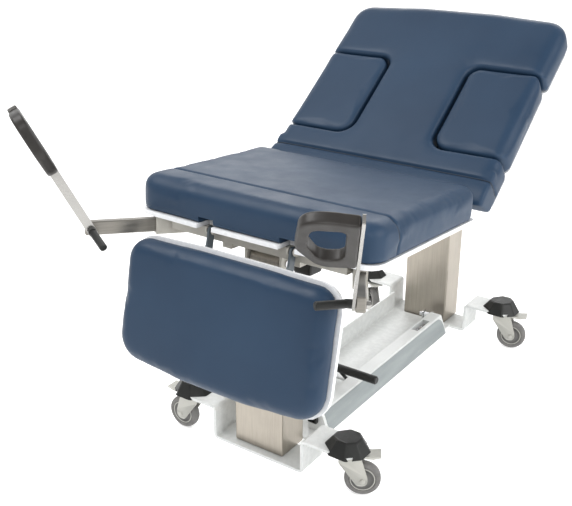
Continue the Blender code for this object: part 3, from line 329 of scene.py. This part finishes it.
def rounded(corners, steps=8):
    """The points of a closed outline whose corners (x, y, radius) are arcs."""
    points = []
    for index, (x, y, radius) in enumerate(corners):
        corner = Vector((x, y))
        before = (Vector(corners[index - 1][:2]) - corner).normalized()
        after = (Vector(corners[(index + 1) % len(corners)][:2]) - corner).normalized()
        if radius == 0:
            points.append(corner)
            continue
        half = before.angle(after) / 2
        centre = corner + (before + after).normalized() * (radius / math.sin(half))
        start = corner + before * (radius / math.tan(half)) - centre
        end = corner + after * (radius / math.tan(half)) - centre
        sweep = start.angle_signed(end)
        for step in range(steps + 1):
            points.append(centre + Matrix.Rotation(-sweep * step / steps, 2) @ start)
    return points


def slab(outline, low, high, bevel=0.0, segments=6, angle_deg=50):
    """A flat solid from an outline of (x, y), rounded along its sharp edges."""
    shape = bmesh.new()
    bottom = [shape.verts.new((point.x, point.y, low)) for point in outline]
    face = shape.faces.new(bottom)
    face.normal_update()
    if face.normal.z > 0:
        face.normal_flip()
    raised = bmesh.ops.extrude_face_region(shape, geom=[face])
    top = [item for item in raised["geom"] if isinstance(item, bmesh.types.BMVert)]
    bmesh.ops.translate(shape, vec=(0, 0, high - low), verts=top)
    bmesh.ops.recalc_face_normals(shape, faces=shape.faces)
    item = from_bmesh("slab", shape)
    if bevel:
        modifier = item.modifiers.new("round", "BEVEL")
        modifier.width = bevel
        modifier.segments = segments
        modifier.limit_method = "ANGLE"
        modifier.angle_limit = math.radians(angle_deg)
        bake(item)
    return item


def block(low, high):
    low = Vector(low)
    high = Vector(high)
    shape = bmesh.new()
    bmesh.ops.create_cube(shape, size=1.0)
    bmesh.ops.scale(shape, vec=high - low, verts=shape.verts)
    bmesh.ops.translate(shape, vec=(low + high) / 2, verts=shape.verts)
    return from_bmesh("block", shape)


def bake(item):
    """Makes the object's mesh what its modifiers make of it."""
    graph = bpy.context.evaluated_depsgraph_get()
    mesh = bpy.data.meshes.new_from_object(item.evaluated_get(graph))
    item.modifiers.clear()
    item.data = mesh
    return item


def boolean(item, other, operation, keep=False):
    modifier = item.modifiers.new("combine", "BOOLEAN")
    modifier.operation = operation
    modifier.solver = "MANIFOLD"
    modifier.object = other
    bake(item)
    if not keep:
        bpy.data.objects.remove(other)
    return item


def remesh(item, voxel, smoothing=4):
    modifier = item.modifiers.new("remesh", "REMESH")
    modifier.mode = "VOXEL"
    modifier.voxel_size = voxel
    modifier.use_smooth_shade = True
    smooth = item.modifiers.new("smooth", "SMOOTH")
    smooth.factor = 0.5
    smooth.iterations = smoothing
    return bake(item)


def inflate(item, pressure, cap, floor, frames=18):
    """Swells the cushion as cloth under pressure, and holds each point within cap of where it was and on its board."""
    before = [point.co.copy() for point in item.data.vertices]
    modifier = item.modifiers.new("cloth", "CLOTH")
    settings = modifier.settings
    settings.quality = 4
    settings.mass = 0.4
    settings.tension_stiffness = 25
    settings.compression_stiffness = 25
    settings.shear_stiffness = 10
    settings.bending_stiffness = 2.0
    settings.use_pressure = True
    settings.uniform_pressure_force = pressure
    settings.effector_weights.gravity = 0
    modifier.point_cache.frame_start = 1
    modifier.point_cache.frame_end = frames
    scene = bpy.context.scene
    for number in range(1, frames + 1):
        scene.frame_set(number)
    bake(item)
    scene.frame_set(1)
    for point, rest in zip(item.data.vertices, before):
        moved = point.co - rest
        length = moved.length
        if length > 1e-9:
            moved *= cap * math.tanh(length / cap) / length
        if rest.z < floor + 0.004:
            moved.z = 0
        point.co = rest + moved
        point.co.z = max(point.co.z, floor)
    return item


def groove(item, centre, normal, depth, half_width, lowest):
    """Presses a seam into the cushion along a plane, puckered a little on both sides, and returns its line."""
    shape = bmesh.new()
    shape.from_mesh(item.data)
    normal = Vector(normal).normalized()
    centre = Vector(centre)
    line = []
    for offset in (-1.0, -0.45, 0.0, 0.45, 1.0):
        geometry = shape.verts[:] + shape.edges[:] + shape.faces[:]
        place = centre + normal * offset * half_width
        made = bmesh.ops.bisect_plane(shape, geom=geometry, plane_co=place, plane_no=normal, dist=1e-5)
        if offset == 0.0:
            line = [part for part in made["geom_cut"] if isinstance(part, bmesh.types.BMVert)]
            edges = [part for part in made["geom_cut"] if isinstance(part, bmesh.types.BMEdge)]
            ordered = chain(edges)
    shape.normal_update()
    moves = []
    for point in shape.verts:
        away = abs((point.co - centre).dot(normal)) / half_width
        if away < 3.0:
            inward = depth * math.exp(-((away / 0.55) ** 2))
            pucker = 0.0011 * noise.noise(point.co * 55.0) * math.exp(-((away / 1.6) ** 2))
            push = point.normal.copy()
            push -= normal * push.dot(normal)
            if point.co.z > lowest + 0.003:
                moves.append((point, push * (pucker - inward)))
    for point, move in moves:
        point.co += move
    path = [point.co.copy() for point in ordered if point.co.z > lowest + 0.004]
    shape.to_mesh(item.data)
    shape.free()
    return path


def chain(edges):
    """The points of a loop of edges in order, starting at its lowest one."""
    beside = {}
    for edge in edges:
        for point, other in ((edge.verts[0], edge.verts[1]), (edge.verts[1], edge.verts[0])):
            beside.setdefault(point, []).append(other)
    start = min(beside, key=lambda point: (round(point.co.z, 4), abs(point.co.x)))
    ordered = [start]
    seen = {start}
    while True:
        ahead = [point for point in beside[ordered[-1]] if point not in seen]
        if not ahead:
            return ordered
        ordered.append(ahead[0])
        seen.add(ahead[0])


def tube(name, points, radius, sides=8):
    """A round tube along the points."""
    shape = bmesh.new()
    rings = []
    side = None
    for index, point in enumerate(points):
        ahead = points[min(index + 1, len(points) - 1)] - points[max(index - 1, 0)]
        ahead.normalize()
        if side is None:
            side = ahead.orthogonal().normalized()
        side = (side - ahead * side.dot(ahead)).normalized()
        up = ahead.cross(side)
        ring = []
        for number in range(sides):
            turned = 2 * math.pi * number / sides
            ring.append(shape.verts.new(point + (side * math.cos(turned) + up * math.sin(turned)) * radius))
        rings.append(ring)
    for first, second in zip(rings, rings[1:]):
        for number in range(sides):
            after = (number + 1) % sides
            shape.faces.new((first[number], first[after], second[after], second[number]))
    shape.faces.new(rings[0][::-1])
    shape.faces.new(rings[-1])
    bmesh.ops.recalc_face_normals(shape, faces=shape.faces)
    return from_bmesh(name, shape)


def lathe(profile, steps=64):
    """A closed ring about Z from (radius, height) points."""
    shape = bmesh.new()
    rings = []
    for radius, height in profile:
        ring = []
        for number in range(steps):
            turned = 2 * math.pi * number / steps
            ring.append(shape.verts.new((radius * math.cos(turned), radius * math.sin(turned), height)))
        rings.append(ring)
    for index, ring in enumerate(rings):
        before = rings[index - 1]
        for number in range(steps):
            after = (number + 1) % steps
            shape.faces.new((before[number], before[after], ring[after], ring[number]))
    bmesh.ops.recalc_face_normals(shape, faces=shape.faces)
    return from_bmesh("ring", shape)


def smooth(item, angle_deg=35):
    item.data.shade_smooth()
    item.data.set_sharp_from_angle(angle=math.radians(angle_deg))
    return item


def piece(item, name, material, body, matrix=None, replaced=()):
    """Names a finished piece, places it and lets it ride on its body."""
    if matrix is not None:
        item.data.transform(matrix)
    item.name = name
    item.data.name = name
    paint(item, material)
    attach(item, body)
    if replaced:
        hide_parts(*replaced)
    return item


def merged(items, name):
    """Several loose objects as one."""
    shape = bmesh.new()
    for item in items:
        shape.from_mesh(item.data)
        bpy.data.objects.remove(item)
    return from_bmesh(name, shape)


# ---------------------------------------------------------------- cushions
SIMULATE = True
VOXEL = 0.0065


def padded(item, name, node, body, matrix):
    smooth(item, 60)
    piece(item, name, VINYL, body, matrix, (node,))
    return item


def seam(points, name, body, matrix, radius=0.0019):
    item = smooth(tube(name, points, radius), 60)
    return piece(item, name, SHADE_PIPING, body, matrix)


def seat_outline(inset):
    half = 0.380 - inset
    front = -0.1276 + inset
    return [
        (-half, 0.447 - inset, 0.035),
        (-half, front + 0.008, 0.055),
        (-half / 3, front, 0.5),
        (half / 3, front, 0.5),
        (half, front + 0.008, 0.055),
        (half, 0.447 - inset, 0.035),
    ]


def make_seat():
    floor = 0.0949
    top = 0.1875
    item = slab(rounded(seat_outline(0.0010)), floor, top, 0.007, 4)
    crown = slab(rounded(seat_outline(0.0010)), floor - 0.08, top, 0.058, 10)
    boolean(item, crown, "INTERSECT")
    remesh(item, VOXEL)
    if SIMULATE:
        inflate(item, 4.0, 0.0052, floor)
    for side in SIDES.values():
        middle = side * 0.130
        boolean(item, block((middle - 0.025, -0.20, 0.06), (middle + 0.025, -0.072, 0.112)), "DIFFERENCE")
    line = groove(item, (0, -0.0065, 0), (0, 1, 0), 0.0050, 0.0085, floor)
    padded(item, "seat_pad", "seat_cushion", "deck", DECK)
    seam(line, "seat_seam", "deck", DECK)


def back_outline(inset):
    """The backrest's cushion in (x, u), waisted where the side panels fit."""
    wide = 0.381 - inset
    waist = 0.1395 - inset
    low = 0.121 - inset
    high = 0.460 + inset
    top = 0.711 - inset
    right = [
        (wide, 0.0383, 0),
        (wide, low, 0.012),
        (waist, low, 0.055),
        (waist, high, 0.045),
        (wide, high, 0.012),
        (wide, top - 0.018, 0.065),
        (wide / 3, top, 0.3),
    ]
    left = [(-x, u, radius) for x, u, radius in reversed(right)]
    return right + left


def back_outer(inset):
    """The backrest's outline with no waist, from below its roll to the head."""
    wide = 0.381 - inset
    top = 0.711 - inset
    return [
        (wide, -0.30, 0),
        (wide, top - 0.018, 0.065),
        (wide / 3, top, 0.3),
        (-wide / 3, top, 0.3),
        (-wide, top - 0.018, 0.065),
        (-wide, -0.30, 0),
    ]


BACK_FLOOR = 0.0179
BACK_TOP = 0.1050


def back_crown():
    return slab(rounded(back_outer(0.0010)), BACK_FLOOR - 0.15, BACK_TOP, 0.038, 8)


def make_roll():
    """The lower end of the backrest's cushion, round about the hinge."""
    radius = math.hypot(0.0383, 0.1021) - 0.0035
    first = math.atan2(0.1021, 0.0383)
    last = math.radians(117)
    points = [Vector((0.075, BACK_FLOOR)), Vector((0.075, BACK_TOP))]
    for step in range(13):
        turned = first + (last - first) * step / 12
        points.append(Vector((radius * math.cos(turned), min(radius * math.sin(turned), BACK_TOP + 0.004))))
    points.append(Vector((-0.017, BACK_FLOOR)))
    half = 0.380 - 0.0010
    item = slab(points, -half, half, 0.022, 6, 60)
    swap = Matrix(((0, 0, 1, 0), (1, 0, 0, 0), (0, 1, 0, 0), (0, 0, 0, 1)))
    item.data.transform(swap)
    return item


def make_back():
    item = slab(rounded(back_outline(0.0010)), BACK_FLOOR, BACK_TOP, 0.012, 5)
    boolean(item, back_crown(), "INTERSECT")
    boolean(item, make_roll(), "UNION")
    remesh(item, VOXEL)
    if SIMULATE:
        inflate(item, 4.0, 0.0030, BACK_FLOOR)
    line = groove(item, (0, 0.040, 0), (0, 1, 0), 0.0048, 0.0085, BACK_FLOOR)
    padded(item, "back_pad", "back_cushion", "backrest", BACK)
    seam(line, "back_seam", "backrest", BACK)


def make_side_pads():
    for name, side in SIDES.items():
        inner = 0.1395 + 0.004 + 0.0018
        outer = 0.380
        low = 0.121 + 0.004 + 0.0018
        high = 0.460 - 0.004 - 0.0018
        corners = [
            (side * inner, low, 0.052),
            (side * outer, low, 0.030),
            (side * (outer - 0.005), high, 0.030),
            (side * inner, high, 0.042),
        ]
        item = slab(rounded(corners if side > 0 else corners[::-1]), BACK_FLOOR, BACK_TOP - 0.002, 0.009, 5)
        boolean(item, back_crown(), "INTERSECT")
        remesh(item, VOXEL)
        if SIMULATE:
            inflate(item, 2.5, 0.0020, BACK_FLOOR)
        padded(item, "side_pad_" + name, "side_panel_cushion_" + name, "side_panel_" + name, BACK)


def make_footrest():
    floor = 0.0605
    top = 0.1115
    half = 0.326 - 0.0025
    low = -0.400 + 0.0025
    high = -0.035 - 0.0025
    corners = [
        (-half, high - 0.006, 0.060),
        (-half - 0.004, low + 0.022, 0.073),
        (-half / 3, low, 0.3),
        (half / 3, low, 0.3),
        (half + 0.004, low + 0.022, 0.073),
        (half, high - 0.006, 0.060),
        (half / 3, high, 0.3),
        (-half / 3, high, 0.3),
    ]
    item = slab(rounded(corners), floor, top, 0.006, 4)
    boolean(item, slab(rounded(corners), floor - 0.08, top, 0.034, 8), "INTERSECT")
    remesh(item, VOXEL)
    if SIMULATE:
        inflate(item, 4.0, 0.0050, floor)
    padded(item, "footrest_pad", "footrest_cushion", "footrest", LEG)


# ---------------------------------------------------------------- stirrup loops
def make_loops():
    for name, side in SIDES.items():
        toward = -side
        near = 0.0035 + 0.0006
        far = 0.131
        start = 0.203
        top = 0.381
        thick = 0.026
        outer = [
            (toward * near, start, 0.004),
            (toward * far * 0.62, start - 0.004, 0.050),
            (toward * far, start + 0.070, 0.045),
            (toward * (far - 0.010), top - 0.006, 0.040),
            (toward * far * 0.55, top + 0.004, 0.120),
            (toward * near, top - 0.004, 0.004),
        ]
        opening = [
            (toward * (near + thick), start + thick + 0.006, 0.022),
            (toward * far * 0.62, start + thick, 0.030),
            (toward * (far - thick), start + 0.082, 0.025),
            (toward * (far - thick - 0.006), top - thick - 0.004, 0.020),
            (toward * (near + thick), top - thick - 0.002, 0.015),
        ]
        if toward > 0:
            outer.reverse()
            opening.reverse()
        item = slab(rounded(outer), -0.0145, 0.0145, 0.009, 5)
        hole = slab(rounded(opening), -0.03, 0.03)
        boolean(item, hole, "DIFFERENCE")
        remesh(item, 0.0028, 6)
        upright = Matrix(((1, 0, 0, 0), (0, 0, -1, 0), (0, 1, 0, 0), (0, 0, 0, 1)))
        item.data.transform(upright)
        smooth(item, 60)
        node = "stirrup_loop_" + name
        piece(item, "loop_pad_" + name, PAD, "stirrup_bar_" + name, stirrup_frame(name), (node,))


# ---------------------------------------------------------------- casters
LEG_OUTER = 0.0220  # a fork leg's outer face


def make_casters():
    for name, swivel in SWIVEL_DEG.items():
        end, side_name = name.split("_")
        stem = Vector((SIDES[side_name] * STEM_X, STEM_Y[end], 0))
        fork = TABLE @ Matrix.Translation(stem) @ turn("Z", swivel)
        axle = fork @ Matrix.Translation((0.040, 0, 0.050)) @ turn("X", 90)
        hub = [
            (0.0053, 0.0138), (0.0120, 0.0138), (0.0135, 0.0125), (0.0145, 0.0085), (0.0200, 0.0068),
            (0.0260, 0.0072), (0.0295, 0.0105), (0.0310, 0.0122), (0.0340, 0.0122), (0.0355, 0.0110),
            (0.0355, -0.0110), (0.0340, -0.0122), (0.0310, -0.0122), (0.0295, -0.0105), (0.0260, -0.0072),
            (0.0200, -0.0068), (0.0145, -0.0085), (0.0135, -0.0125), (0.0120, -0.0138), (0.0053, -0.0138),
        ]
        wheel = smooth(lathe(hub), 40)
        piece(wheel, name + "_wheel_hub", HUB_GREY, name + "_wheel", axle, (name + "_hub",))
        rings = []
        for face in (1, -1):
            ring = [(0.0318, 0.0120 * face), (0.0322, 0.0127 * face), (0.0342, 0.0127 * face), (0.0346, 0.0117 * face)]
            rings.append(lathe(ring))
        piece(smooth(merged(rings, "rings"), 40), name + "_wheel_rings", GREY, name + "_wheel", axle)
        tread = [
            (0.0363, 0.0125), (0.0400, 0.0134), (0.0440, 0.0132), (0.0472, 0.0118), (0.0490, 0.0088),
            (0.0498, 0.0045), (0.0500, 0.0), (0.0498, -0.0045), (0.0490, -0.0088), (0.0472, -0.0118),
            (0.0440, -0.0132), (0.0400, -0.0134), (0.0363, -0.0125),
        ]
        rubber = smooth(lathe(tread, 72), 40)
        piece(rubber, name + "_wheel_tyre", TYRE, name + "_wheel", axle, (name + "_tyre",))
        caps = []
        for face in (1, -1):
            cap = lathe([(0.0001, 0.0038), (0.0050, 0.0036), (0.0070, 0.0024), (0.0074, 0.0), (0.0001, 0.0)], 28)
            cap.data.transform(Matrix.Translation((0.040, face * LEG_OUTER, 0.050)) @ turn("X", -90 * face))
            caps.append(cap)
        piece(smooth(merged(caps, "caps"), 30), name + "_axle_caps", GREY, name + "_swivel", fork)


# ---------------------------------------------------------------- small fittings
def make_fittings():
    """The inlet's pins, the bolts in the side beam's slot and the rims of the column housings."""
    pins = []
    for x, z in ((0.0690, 0.0960), (0.0790, 0.0960), (0.0740, 0.1030)):
        pins.append(block((x - 0.0010, -0.3830, z - 0.0020), (x + 0.0010, -0.3790, z + 0.0020)))
    piece(merged(pins, "pins"), "inlet_pins", CHROME, "base", TABLE)

    bolts = []
    for y, radius in ((0.262, 0.0085), (0.290, 0.0105), (0.318, 0.0085)):
        across = lathe([(0.0001, 0.012), (radius, 0.012), (radius, -0.012), (0.0001, -0.012)], 20)
        across.data.transform(Matrix.Translation((0.075, y, 0.098)) @ turn("Y", 90))
        bolts.append(across)
        head = lathe([(0.0001, 0.014), (radius * 0.7, 0.013), (radius * 0.7, 0.0), (0.0001, 0.0)], 6)
        head.data.transform(Matrix.Translation((0.075, y, 0.100)))
        bolts.append(head)
    piece(smooth(merged(bolts, "bolts"), 30), "slot_bolts", CHROME, "base", TABLE)

    for end, centre_y in (("front", -0.4815), ("rear", 0.5425)):
        half_x, half_y, wall = 0.0825, 0.0525, 0.0068
        outer = [(-half_x, -half_y, 0.004), (half_x, -half_y, 0.004), (half_x, half_y, 0.004), (-half_x, half_y, 0.004)]
        inner = [(x * (1 - wall / half_x), y * (1 - wall / half_y), 0.003) for x, y, _ in outer]
        rim = slab(rounded(outer, 4), 0.4103, 0.4138)
        hole = slab(rounded(inner, 4), 0.40, 0.42)
        boolean(rim, hole, "DIFFERENCE")
        place = TABLE @ Matrix.Translation((-0.010, centre_y, 0))
        piece(smooth(rim, 30), end + "_column_wiper", BLACK, "base", place)


# ---------------------------------------------------------------- carried-over CAD pieces
SURFACES = {
    "white_edging": EDGING,
    "white_paint": WHITE,
    "satin_steel": STEEL,
    "frame_paint": SLATE,
    "beige_paint": BEIGE,
    "label_grey": LABEL,
    "black_plastic": BLACK,
    "black_pad": PAD,
    "grey_plastic": GREY,
    "tyre_rubber": TYRE,
    "chrome": CHROME,
    "navy_vinyl": VINYL,
}
SPECIAL = {
    "stirrup_arm_left": SHADED_ARM_STEEL,
    "stirrup_arm_right": SHADED_ARM_STEEL,
    "stirrup_bar_left": BAR_METAL,
    "stirrup_bar_right": BAR_METAL,
}
EDGE_WIDTH = {
    "corner_cover": (0.0035, 3),
    "crossbeam": (0.0012, 2),
    "fork": (0.0010, 2),
    "pedal": (0.0008, 2),
    "board": (0.0022, 3),
    "stirrup_bar": (0.0010, 2),
    "deck_frame": (0.0012, 2),
    "back_frame": (0.0012, 2),
    "footrest_frame": (0.0008, 2),
    "tray": (0.0010, 2),
    "side_beam": (0.0012, 2),
    "stage": (0.0010, 2),
}


def dress_cad():
    for row in frame["record"]["subparts"]:
        name = row["node"]
        item = NODES[name]
        paint(item, SPECIAL.get(name, SURFACES[row["material_slot"]]))
        smooth(item, 35)
        for part, (width, segments) in EDGE_WIDTH.items():
            if part in name:
                modifier = item.modifiers.new("edges", "BEVEL")
                modifier.width = width
                modifier.segments = segments
                modifier.limit_method = "ANGLE"
                modifier.angle_limit = math.radians(35)
                modifier.use_clamp_overlap = True
                modifier.harden_normals = False
                break


dress_cad()
make_seat()
make_back()
make_side_pads()
make_footrest()
make_loops()
make_casters()
make_fittings()


# ---------------------------------------------------------------- studio
def stage_floor():
    """A plain pale floor that curves up into a backdrop."""
    points = []
    for step in range(25):
        turned = math.pi / 2 * step / 24
        points.append((6.0 + 3.0 * math.sin(turned), 3.0 - 3.0 * math.cos(turned)))
    profile = [(-9.0, 0.0)] + points + [(9.0, 12.0)]
    shape = bmesh.new()
    rows = []
    for y, z in profile:
        rows.append([shape.verts.new((x, y, z - 0.0005)) for x in (-14.0, 14.0)])
    for first, second in zip(rows, rows[1:]):
        shape.faces.new((first[0], first[1], second[1], second[0]))
    item = smooth(from_bmesh("floor", shape), 60)
    item.rotation_euler.z = math.radians(35)
    s = Shader("floor_paper")
    colour = s.ramp(s.noise(1.5, 2.0), [(0.3, (0.90, 0.90, 0.90)), (0.7, (0.93, 0.93, 0.93))])
    paint(item, s.finish(colour, 0.9, emission_color=(1.0, 1.0, 1.0, 1.0), emission_strength=0.42))


def area_light(name, location, target, size, power, colour=(1.0, 1.0, 1.0)):
    light = bpy.data.lights.new(name, "AREA")
    light.shape = "RECTANGLE"
    light.size = size[0]
    light.size_y = size[1]
    light.energy = power
    light.color = colour
    item = bpy.data.objects.new(name, light)
    bpy.context.scene.collection.objects.link(item)
    item.location = location
    item.rotation_euler = (Vector(target) - Vector(location)).to_track_quat("-Z", "Y").to_euler()
    return item


def studio():
    stage_floor()
    middle = (0.0, 0.1, 0.6)
    area_light("key", (-2.0, -1.6, 4.6), middle, (3.0, 3.0), 150)
    area_light("front", (2.8, -4.2, 3.4), middle, (2.6, 2.0), 66)
    area_light("right", (4.2, 1.0, 3.0), middle, (2.4, 2.6), 70)
    area_light("edge", (3.2, -0.6, 1.9), middle, (0.5, 2.4), 34)
    area_light("back", (-1.6, 4.6, 3.6), middle, (5.0, 2.4), 80)
    world = bpy.data.worlds.new("studio")
    world.use_nodes = True
    background = world.node_tree.nodes["Background"]
    background.inputs["Color"].default_value = (1.0, 1.0, 1.0, 1.0)
    background.inputs["Strength"].default_value = 0.52
    bpy.context.scene.world = world
    bpy.context.scene.view_settings.view_transform = "Standard"

    camera = bpy.data.cameras.new("camera")
    camera.lens = 57.7
    camera.sensor_width = 36.0
    item = bpy.data.objects.new("camera", camera)
    bpy.context.scene.collection.objects.link(item)
    item.location = (1.3145, -2.15125, 1.55625)
    item.rotation_euler = (math.radians(90 - 22.3), 0, math.radians(35))
    bpy.context.scene.camera = item


studio()
